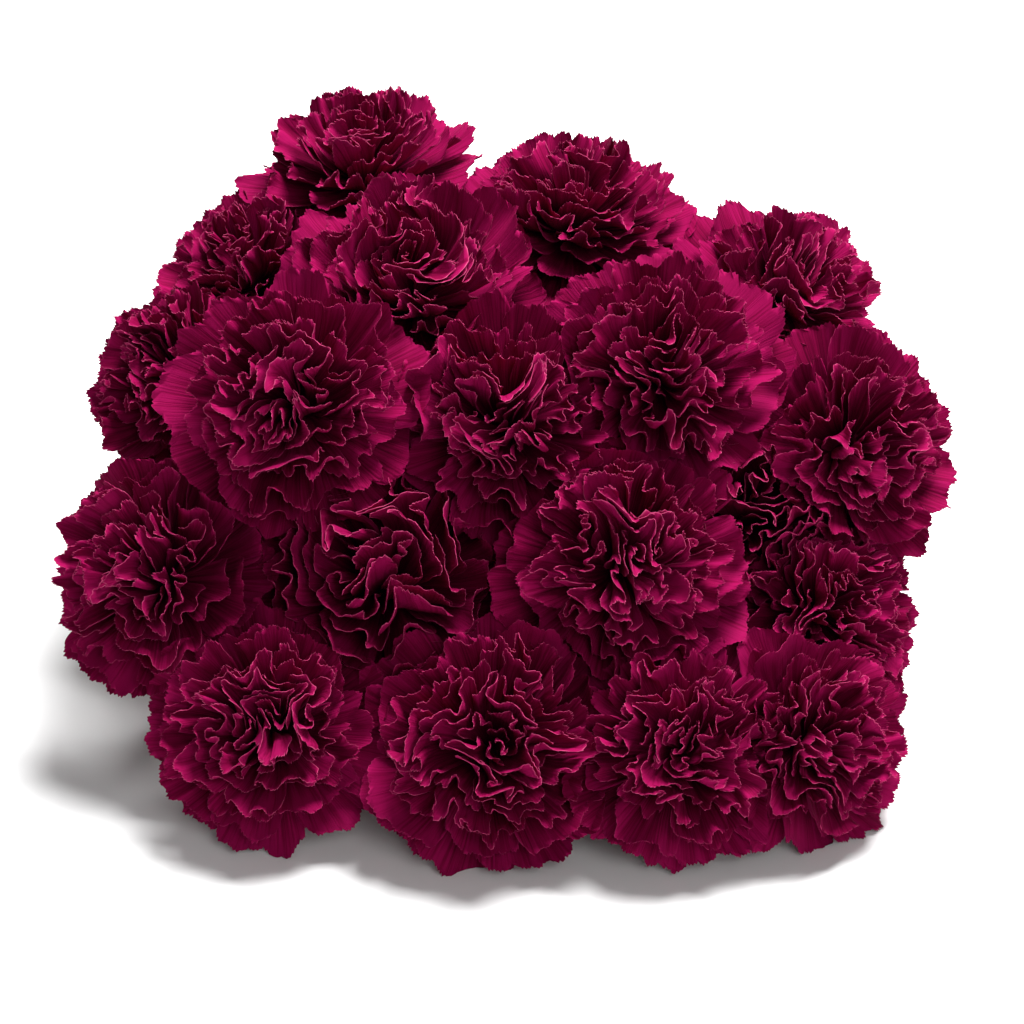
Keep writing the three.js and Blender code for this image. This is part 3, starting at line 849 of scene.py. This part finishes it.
def heart(bloom):
    """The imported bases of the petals: a closed bulb from inside the calyx to a little above the throat."""
    lean = np.linspace(HEART_END, pi - HEART_END, HEART_RINGS)[:, None]
    azimuth = np.linspace(0, 2 * pi, HEART_SIDES, endpoint=False)[None, :]
    below = lean > pi / 2
    out = HEART_RADIUS * np.sin(lean) * np.where(below, HEART_TAPER, 1)
    depth = -np.cos(lean) * np.where(below, HEART_DEPTH, HEART_RISE)
    rings = bloom.beside(azimuth, depth, out)
    # Marks of zero give the bulb the darkest end of the petals' ramp, the painted shade of the throat.
    points, triangles, marks = tube(rings, marks_for(rings.shape[:2], 0, 0, 0, 0))
    return points, triangles[:, ::-1], marks


def petals_piece(bloom, material):
    rng = np.random.default_rng(PETAL_SEED + bloom.index)
    bloom.twists = vortices(rng, LAST_TURNS)
    parts = [heart(bloom)]
    for whorl, stages in grow_margins(rng, bloom.folding):
        parts.append(petal(bloom, whorl, stages, rng))
    points, triangles, marks = joined(parts)
    make_piece(
        "petals_" + bloom.number, points, triangles, material, "petals", ["bloom_" + bloom.number],
        uv=marks[:, :2], rim=marks[:, 2], tone=marks[:, 3],
    )


# Routes of the stems, as the solids have them

CALYX_FOOT = 32
STEM_RADIUS = 2.3
NECK_REACH = 45
GATHER_SHARE = 0.4
NECK_GAP = 0.6
STEM_FLOOR_GAP = 0.1
GATHER_ACROSS = 10.5
GATHER_RISE = 5.6
MID_HEIGHT = 77
SLOT_SPACING = 5.15
ROW_HEIGHT = SLOT_SPACING * sqrt(3) / 2
BAND_WIDTH = 9
BAND_THICKNESS = 1.6
BAND_GAP = 0.3
BAND_HEIGHT = 2 * ROW_HEIGHT + STEM_RADIUS + BAND_GAP + BAND_THICKNESS
CUT_END = 338
CUT_WANDER = 3
END_SPREAD = 1.4
STEM_SAMPLES = 41


def bezier(corners, shares):
    """Points and tangents of a cubic curve."""
    t = np.asarray(shares, float)[:, None]
    s = 1 - t
    a, b, c, d = corners
    points = s**3 * a + 3 * s**2 * t * b + 3 * s * t**2 * c + t**3 * d
    return points, unit(s**2 * (b - a) + 2 * s * t * (c - b) + t**2 * (d - c))


def share_slots(blooms):
    """The place in the band's hexagon that each stem gets, swapping pairs while that helps."""
    slots = [
        np.array([(k - (4 - abs(row)) / 2) * SLOT_SPACING, row * ROW_HEIGHT])
        for row in range(-2, 3)
        for k in range(5 - abs(row))
    ]
    wish = np.array([
        [(bloom.throat[0] - BAND_ACROSS) / GATHER_ACROSS, (bloom.throat[2] - MID_HEIGHT) / GATHER_RISE]
        for bloom in blooms
    ])
    holder = list(range(len(blooms)))

    def cost(k, other):
        return ((wish[k] - slots[holder[other]]) ** 2).sum()

    swapped = True
    while swapped:
        swapped = False
        for a in range(len(holder)):
            for b in range(a + 1, len(holder)):
                if cost(a, b) + cost(b, a) < cost(a, a) + cost(b, b) - TINY:
                    holder[a], holder[b] = holder[b], holder[a]
                    swapped = True
    for bloom, k in zip(blooms, holder):
        bloom.slot = slots[k]
    return np.array(slots)


def route_stem(bloom):
    """A stem in two curves: from the calyx to the band, and from the band to the cut end."""
    foot = bloom.throat - CALYX_FOOT * bloom.axis
    neck = min(NECK_REACH, (foot[2] - STEM_RADIUS - NECK_GAP) / bloom.axis[2])
    across, rise = bloom.slot
    enter = np.array([BAND_ACROSS + across, BAND_AT - BAND_WIDTH, BAND_HEIGHT + rise])
    leave = enter + 2 * BAND_WIDTH * BACK
    end_rise = STEM_RADIUS + STEM_FLOOR_GAP + (rise + 2 * ROW_HEIGHT) * END_SPREAD
    cut_at = CUT_END + CUT_WANDER * draw(bloom.index, 5)
    end = np.array([BAND_ACROSS + across * END_SPREAD, cut_at, end_rise])
    gather = GATHER_SHARE * norm(enter - foot)
    third = (CUT_END - BAND_AT) / 3
    bloom.gathered = (foot, foot - neck * bloom.axis, enter - gather * BACK, enter)
    bloom.spread = (leave, leave + third * BACK, end - third * BACK, end)
    even = np.linspace(0, 1, STEM_SAMPLES)
    bloom.samples = np.concatenate([bezier(curve, even)[0] for curve in (bloom.gathered, bloom.spread)])


# Leaves sit in pairs at the joints of a stem, where they touch nothing else.
LEAF_JOINTS = (0.3, 0.55)
LEAF_LENGTH = 72
LEAF_HALF_WIDTH = 3
LEAF_OPENING = (14, 64)
LEAF_TURNS = 8
LEAF_GAP = 1
LEAF_SPREAD = 0.15
LEAF_TRIALS = 12
LEAF_SUNK = 2
LEAF_FRONT = 8
MOST_LEAVES = 2
CALYX_MOUTH = 7.6
CALYX_RIM = 5.9


def leaf_width(share):
    """How far a leaf reaches to either side: it widens a little from its foot and narrows to its tip."""
    return LEAF_HALF_WIDTH * np.minimum(1, 0.6 + 3 * share) * (1 - 0.93 * share**1.8)


def joint_frame(bloom, joint):
    """The place of a joint, the way up the stem there and a direction off the stem."""
    centres, tangents = bezier(bloom.gathered, [joint])
    upwards = -tangents[0]
    return centres[0], upwards, unit(bloom.u - upwards * (bloom.u @ upwards))


def leaf_path(bloom, joint, azimuth, length, steps, opening):
    """A leaf's midrib as an arc that opens away from its stem: how far along each of its points lies,
    the points, the direction across it and the normals."""
    centre, upwards, off = joint_frame(bloom, joint)
    outward = turned(off, upwards, radians(azimuth))
    across = np.cross(upwards, outward)
    shares = np.arange(steps + 1) / steps
    angle = np.radians(opening[0] + (opening[1] - opening[0]) * shares)[:, None]
    heading = np.cos(angle) * upwards + np.sin(angle) * outward
    gone = np.concatenate([np.zeros((1, 3)), np.cumsum(heading[:-1], axis=0)]) * length / steps
    return shares, centre + gone, across, np.cross(across, heading)


def room_from_bloom(bloom, points):
    """How far points lie outside a bloom's petals and its calyx."""
    offset = points - bloom.throat
    below = -offset @ bloom.axis
    far = norm(offset, axis=1)
    away = np.sqrt(np.maximum(0, far**2 - below**2))
    from_petals = np.hypot(np.maximum(0, away - bloom.radius), below)
    past_foot = np.hypot(away, below - CALYX_FOOT)
    from_calyx = np.where(below < CALYX_FOOT, away - CALYX_MOUTH, past_foot)
    return np.where(below < 0, far - bloom.radius, np.minimum(from_petals, from_calyx))


def leaf_is_clear(bloom, shares, points, blooms, leaves):
    """Whether a leaf keeps off the floor, the front, the blooms, the stems and other leaves."""
    reach = leaf_width(shares) + LEAF_GAP
    if (points[:, 2] < reach).any() or (points[:, 1] < LEAF_FRONT).any():
        return False
    if any((room_from_bloom(other, points) < reach).any() for other in blooms):
        return False

    def near(others, room):
        return (norm(others[None] - points[:, None], axis=2) < room[:, None]).any()

    if any(near(other.samples, reach + STEM_RADIUS) for other in blooms if other is not bloom):
        return False
    return not any(near(leaf, 2 * reach) for leaf in leaves)


def grow_leaves(blooms):
    """The first leaves that are clear on each stem, tried in pairs at its joints, turn by turn."""
    taken = []
    for bloom in blooms:
        bloom.leaves = []
        first = 180 * draw(bloom.index, 6)
        for k in range(2 * LEAF_TURNS * len(LEAF_JOINTS)):
            if len(bloom.leaves) == MOST_LEAVES:
                break
            pair = k // 2
            joint = LEAF_JOINTS[pair % len(LEAF_JOINTS)]
            turn = 90 * (pair % 2) + (180 / LEAF_TURNS) * (pair // 2)
            azimuth = first + turn + 180 * (k % 2)
            length = LEAF_LENGTH * (1 + LEAF_SPREAD * draw(bloom.index, 7, k))
            path = leaf_path(bloom, joint, azimuth, length, LEAF_TRIALS, LEAF_OPENING)
            shares, points = (values[LEAF_SUNK:] for values in path[:2])
            if leaf_is_clear(bloom, shares[1:], points[1:], blooms, taken):
                taken.append(points)
                bloom.leaves.append((joint, azimuth, length))


# Stems, calyxes and leaves

GREEN_SEED = 900
CALYX_SIDES = 30
CALYX_WALL = 0.5
CALYX_RIBS = 10
RIB_HEIGHT = 0.08
TOOTH_LENGTH = 3.6
TOOTH_FLARE = 0.9
TEETH = 5
TEETH_TURN = 0.25
CALYX_DEPTHS = (5.9, 11, 14, 18, 22, 26, 29, 30.6, 31.6, CALYX_FOOT)
CALYX_RADII = (7.6, 7.0, 6.75, 6.3, 5.75, 5.1, 4.5, 3.9, 3.1, 2.5)


def calyx(bloom):
    """The calyx, from the hollow in its mouth over its five teeth and down to its foot."""
    azimuth = 2 * pi * (np.arange(CALYX_SIDES)[::-1] + 0.5) / CALYX_SIDES
    tooth = 1 - np.abs(2 * ((azimuth / (2 * pi) * TEETH - TEETH_TURN) % 1) - 1)
    top = CALYX_RIM - TOOTH_LENGTH * tooth**0.9
    flare = TOOTH_FLARE * tooth**1.5
    # Each row: how far out and how deep it lies, how pale it is and how dry.
    rows = [
        (3.2, 13.4, 0.6, 0),
        (5.6, 11.5, 0.6, 0),
        (CALYX_MOUTH - CALYX_WALL + flare, top, 0.4, 0.7 * tooth**3),
        (CALYX_MOUTH + flare, top, 0.3, 0.9 * tooth**3),
    ]
    for share in (0.3, 0.6):
        depth = top + share * (CALYX_DEPTHS[1] - top)
        body = np.interp(depth, CALYX_DEPTHS, CALYX_RADII)
        rows.append((body + flare * (1 - share) ** 2, depth, 0.1, 0))
    ribs = RIB_HEIGHT * np.cos(CALYX_RIBS * azimuth)
    for depth, radius in zip(CALYX_DEPTHS[1:], CALYX_RADII[1:]):
        rows.append((radius + ribs, depth, 0.15 + 0.5 * smooth((depth - 24) / 8), 0))
    out, depth, pale, dry = (
        np.stack([np.broadcast_to(value, azimuth.shape) for value in values]) for values in zip(*rows)
    )
    return tube(bloom.beside(azimuth, depth, out), marks_for(pale.shape, pale, dry, 0))


STEM_SIDES = 14
THINNER = 0.95
THICKNESS_WANDER = 0.03
LENGTH_SAMPLES = 60
STEM_TOP = 0.012
UPPER_ROWS = 46
LOWER_ROWS = 22
LOWER_LENGTH = 105
LOWER_JOINT = 0.45
JOINT_SWELL = 0.85
BARE_SWELL = 0.3
BARE_JOINT = 0.8
JOINT_SPREAD = 2.4
JOINT_ROWS = (-6, -4, -2.8, -1.8, -0.9, 0, 0.9, 1.8, 2.8, 4, 6)
CREASE_SHARE = 0.25
CREASE_BELOW = 1.4
CREASE_SPREAD = 0.5
BEVEL_FROM = 0.992
BEVEL = 0.25
CUT_INSET = 0.12
CUT_EDGE_PALE = 1
CUT_EDGE_DRY = 0.15
CUT_PALE = 1.6


def swelling(off, most, spread):
    """How much a stem swells round a place, at distances from it along the stem."""
    return most * np.exp(-((off / spread) ** 2))


def stem(bloom):
    """The stem with its swollen joints, down to its pale cut end."""
    length = lengths_along(bezier(bloom.gathered, np.linspace(0, 1, LENGTH_SAMPLES))[0])[-1]
    joints = [(joint, JOINT_SWELL) for joint in LEAF_JOINTS] + [(BARE_JOINT, BARE_SWELL)]
    near_joints = [joint + np.array(JOINT_ROWS) / length for joint, _ in joints]
    upper = np.unique(np.concatenate([np.linspace(STEM_TOP, 1, UPPER_ROWS), *near_joints]))
    upper_swell = np.zeros(len(upper))
    for joint, most in joints:
        off = (upper - joint) * length
        crease = swelling(off + CREASE_BELOW, CREASE_SHARE * most, CREASE_SPREAD)
        upper_swell += swelling(off, most, JOINT_SPREAD) - crease
    lower = np.append(np.linspace(0, 1, LOWER_ROWS)[:-1], [BEVEL_FROM, 1])
    lower_swell = swelling((lower - LOWER_JOINT) * LOWER_LENGTH, BARE_SWELL, JOINT_SPREAD)
    lower_swell[-1] = -BEVEL
    halves = zip(bezier(bloom.gathered, upper), bezier(bloom.spread, lower))
    centres, tangents = map(np.concatenate, halves)
    swell = np.append(upper_swell, lower_swell)
    thickness = STEM_RADIUS * THINNER * (1 + THICKNESS_WANDER * draw(bloom.index, 8))
    azimuth = -2 * pi * (np.arange(STEM_SIDES) + 0.5) / STEM_SIDES
    u = bloom.u
    rings = []
    for centre, tangent, more in zip(centres, tangents, swell):
        u = unit(u - tangent * (u @ tangent))
        rings.append(centre + (thickness + more) * around(azimuth, u, np.cross(u, tangent)))
    cut = rings[-1]
    rings.append(cut + (cut.mean(0) - cut) * CUT_INSET)
    pale = np.append(0.05 + 0.45 * np.maximum(0, swell), CUT_PALE)
    dry = np.zeros(len(pale))
    pale[-2], dry[-2] = CUT_EDGE_PALE, CUT_EDGE_DRY
    return tube(np.array(rings), marks_for((len(rings), STEM_SIDES), pale[:, None], dry[:, None], 0))


BRACT_ROWS = 8
BRACT_COLUMNS = 7
BRACT_HALF = radians(62)
BRACT_TIP = 0.04
BRACT_WALL = 0.3
BRACT_FLARE = 0.9
BRACT_CURL = 0.12
BRACT_WANDER = 1.5

# The outer and the inner pair of bracts: how deep they start and end and how far they stand off the calyx.
BRACTS = ((34.6, 26.5, 0.55), (33.2, 24.5, 0.2))

# The stem goes on below the foot of the calyx.
BODY_DEPTHS = (*CALYX_DEPTHS, 36)
BODY_RADII = (*CALYX_RADII, 2.3)


def bract(bloom, azimuth, low, high, lift, tone):
    """A short broad scale that hugs the foot of the calyx and ends in a point."""
    share = np.linspace(0, 1, BRACT_ROWS)[:, None]
    place = np.linspace(-1, 1, BRACT_COLUMNS)[None, :]
    depth = low + (high - low) * share
    half = BRACT_HALF * (1 - share**2.2) ** 0.8 + BRACT_TIP
    body = np.interp(depth, BODY_DEPTHS, BODY_RADII)
    inner = body + lift + BRACT_FLARE * share**3 + BRACT_CURL * place**2
    outer = inner + BRACT_WALL * (1 - 0.6 * place**2)
    front, back = (bloom.beside(azimuth + half * place, depth, out) for out in (outer, inner))
    pale = 0.1 + 0.35 * place**2
    dry = 0.8 * smooth((share - 0.75) / 0.25)
    return shell(front, back, marks_for(inner.shape, pale, dry, tone))


# The solid leaves have three straight steps, and this opening makes a fine leaf follow them.
FINE_OPENING = (5.7, 55.7)
LEAF_ROWS = 26
LEAF_COLUMNS = 7
LEAF_TWIST = 0.5
LEAF_SWAY = 2.5
LEAF_WAVE = 0.04
LEAF_HALF_WALL = 0.34
LEAF_KEEL = 0.3


def leaf(bloom, joint, azimuth, length, rng):
    """A narrow channelled leaf with a keel, a slight twist and waved edges."""
    shares, points, across, normals = leaf_path(bloom, joint, azimuth, length, LEAF_ROWS - 1, FINE_OPENING)
    place = np.linspace(-1, 1, LEAF_COLUMNS)[None, :, None]
    share = shares[:, None, None]
    normals = normals[:, None]
    twist = rng.uniform(-LEAF_TWIST, LEAF_TWIST) * share**1.5
    side = np.cos(twist) * across + np.sin(twist) * normals
    face = np.cos(twist) * normals - np.sin(twist) * across
    waves = 1 + LEAF_WAVE * np.sin(2 * pi * (share * rng.uniform(2, 4) + rng.uniform()) + 2 * place)
    width = leaf_width(share) * waves
    channel = -(0.42 - 0.2 * share) * width * place**2
    sway = rng.uniform(-LEAF_SWAY, LEAF_SWAY) * share**2
    middle = points[:, None] + side * (place * width + sway) + face * channel
    half = LEAF_HALF_WALL * (1 - 0.6 * place**2)
    keel = LEAF_KEEL * (1 - share) * np.exp(-((place / 0.25) ** 2))
    midrib = (1 - share) * np.exp(-((place / 0.2) ** 2))
    pale = 0.08 + 0.3 * np.abs(place) ** 6 + 0.25 * midrib
    dry = smooth((share - 0.94) / 0.06)
    marks = marks_for(pale.shape[:2], pale[..., 0], dry[..., 0], rng.uniform(-1, 1))
    return shell(middle + face * (half + keel), middle - face * half, marks)


# How far up the stem and how far out each ring of a sheath lies.
SHEATH_PROFILE = [(0.4, 2.4), (0.2, 3.05), (1.6, 3.1), (3.4, 2.95), (5.2, 2.8), (5.2, 2.45), (3.0, 2.35)]


def sheath(bloom, joint):
    """The short collar in which a pair of leaves clasps its joint."""
    centre, upwards, off = joint_frame(bloom, joint)
    sideways = around(2 * pi * np.arange(STEM_SIDES) / STEM_SIDES, off, np.cross(upwards, off))
    rise, radius = (np.array(values)[:, None] for values in zip(*SHEATH_PROFILE))
    rings = centre + rise[..., None] * upwards + radius[..., None] * sideways
    return tube(rings, marks_for(rings.shape[:2], 0.1 + 0.06 * rise, 0, 0))


def greens_piece(bloom, material):
    rng = np.random.default_rng(GREEN_SEED + bloom.index)
    parts = [calyx(bloom), stem(bloom)]
    turn = rng.uniform(0, 2 * pi)
    for k in range(4):
        low, high, lift = BRACTS[k % 2]
        high -= rng.uniform(0, BRACT_WANDER)
        parts.append(bract(bloom, turn + k * pi / 2, low, high, lift, rng.uniform(-1, 1)))
    for joint, azimuth, length in bloom.leaves:
        parts.append(leaf(bloom, joint, azimuth, length, rng))
    for joint in sorted({joint for joint, _, _ in bloom.leaves}):
        parts.append(sheath(bloom, joint))
    points, triangles, marks = joined(parts)
    make_piece(
        "greens_" + bloom.number, points, triangles, material, "green", ["stem_" + bloom.number],
        pale=marks[:, 0], dry=marks[:, 1], tone=marks[:, 2],
    )


# The band: one rubber strand wound side by side round the stems, that crosses back over the top

BAND_TURNS = 5
HALF_STEPS = 24
LOOP_SAMPLES = 1441
STRAND_WIDE = 1.5
STRAND_THICK = 1.4
STRAND_SUNK = 0.1
CROSSING = 0.14

# How far the strand wanders sideways, and how fast with each half turn.
STRAND_WANDERS = ((0.12, 5.3), (0.08, 13.7))

# The strand's section, from its right flank over its rounded top and round its flatter foot.
STRAND_CORNERS = (
    (1, 0.35), (0.75, 0.9), (0.25, 1), (-0.25, 1), (-0.75, 0.9), (-1, 0.35),
    (-1, -0.5), (-0.6, -1), (0.6, -1), (1, -0.5),
)


def band_piece(slots, material):
    """The strand's path goes by half turns, from the left side down under the stems and back over."""
    away = STEM_RADIUS + BAND_GAP + BAND_THICKNESS - STRAND_SUNK - STRAND_THICK / 2
    angle = pi + np.linspace(0, 2 * pi, LOOP_SAMPLES)
    outward = np.stack([np.cos(angle), np.sin(angle)], 1)
    loop = slots[np.argmax(slots @ outward.T, axis=0)] + away * outward
    gone = lengths_along(loop)
    half_turn = np.arange(2 * BAND_TURNS * HALF_STEPS) / HALF_STEPS
    place = (half_turn / 2 % 1) * gone[-1]

    def at_places(values):
        x, z = (np.interp(place, gone, values[:, k]) for k in (0, 1))
        return np.stack([x, np.zeros(len(x)), z], 1)

    last = 2 * BAND_TURNS - 1
    most = (BAND_WIDTH - STRAND_WIDE) / 2
    back = np.clip(half_turn - last, 0, 1)
    y = np.where(half_turn < last, most * (2 * half_turn / last - 1), most * (1 - 2 * smooth(back)))
    for size, pace in STRAND_WANDERS:
        y += size * np.sin(half_turn * pace)
    lift = STRAND_THICK * smooth(back / CROSSING) * smooth((1 - back) / CROSSING)
    out = unit(at_places(outward))
    centre = at_places(loop) + np.array([BAND_ACROSS, BAND_AT, BAND_HEIGHT])
    centre += y[:, None] * BACK + lift[:, None] * out
    tangent = unit(np.roll(centre, -1, axis=0) - np.roll(centre, 1, axis=0))
    across = unit(np.cross(tangent, out))
    rings = np.stack([
        centre + across * a * STRAND_WIDE / 2 + out * b * STRAND_THICK / 2 for a, b in STRAND_CORNERS
    ], 1)
    rows, sides = rings.shape[:2]
    triangles = grid_triangles(rows + 1, sides, closed=True)[:, ::-1] % (rows * sides)
    make_piece("band_strand", rings.reshape(-1, 3), triangles, material, "band", ["band"])


add_camera()
add_floor()
add_world()
for light in LIGHTS:
    add_light(*light)
blooms = [Bloom(index, row) for index, row in enumerate(BLOOMS)]
for bloom in blooms:
    bloom.face_walls(blooms)
petals = petal_material()
for bloom in blooms:
    petals_piece(bloom, petals)
slots = share_slots(blooms)
for bloom in blooms:
    route_stem(bloom)
grow_leaves(blooms)
green = green_material()
for bloom in blooms:
    greens_piece(bloom, green)
band_piece(slots, band_material())
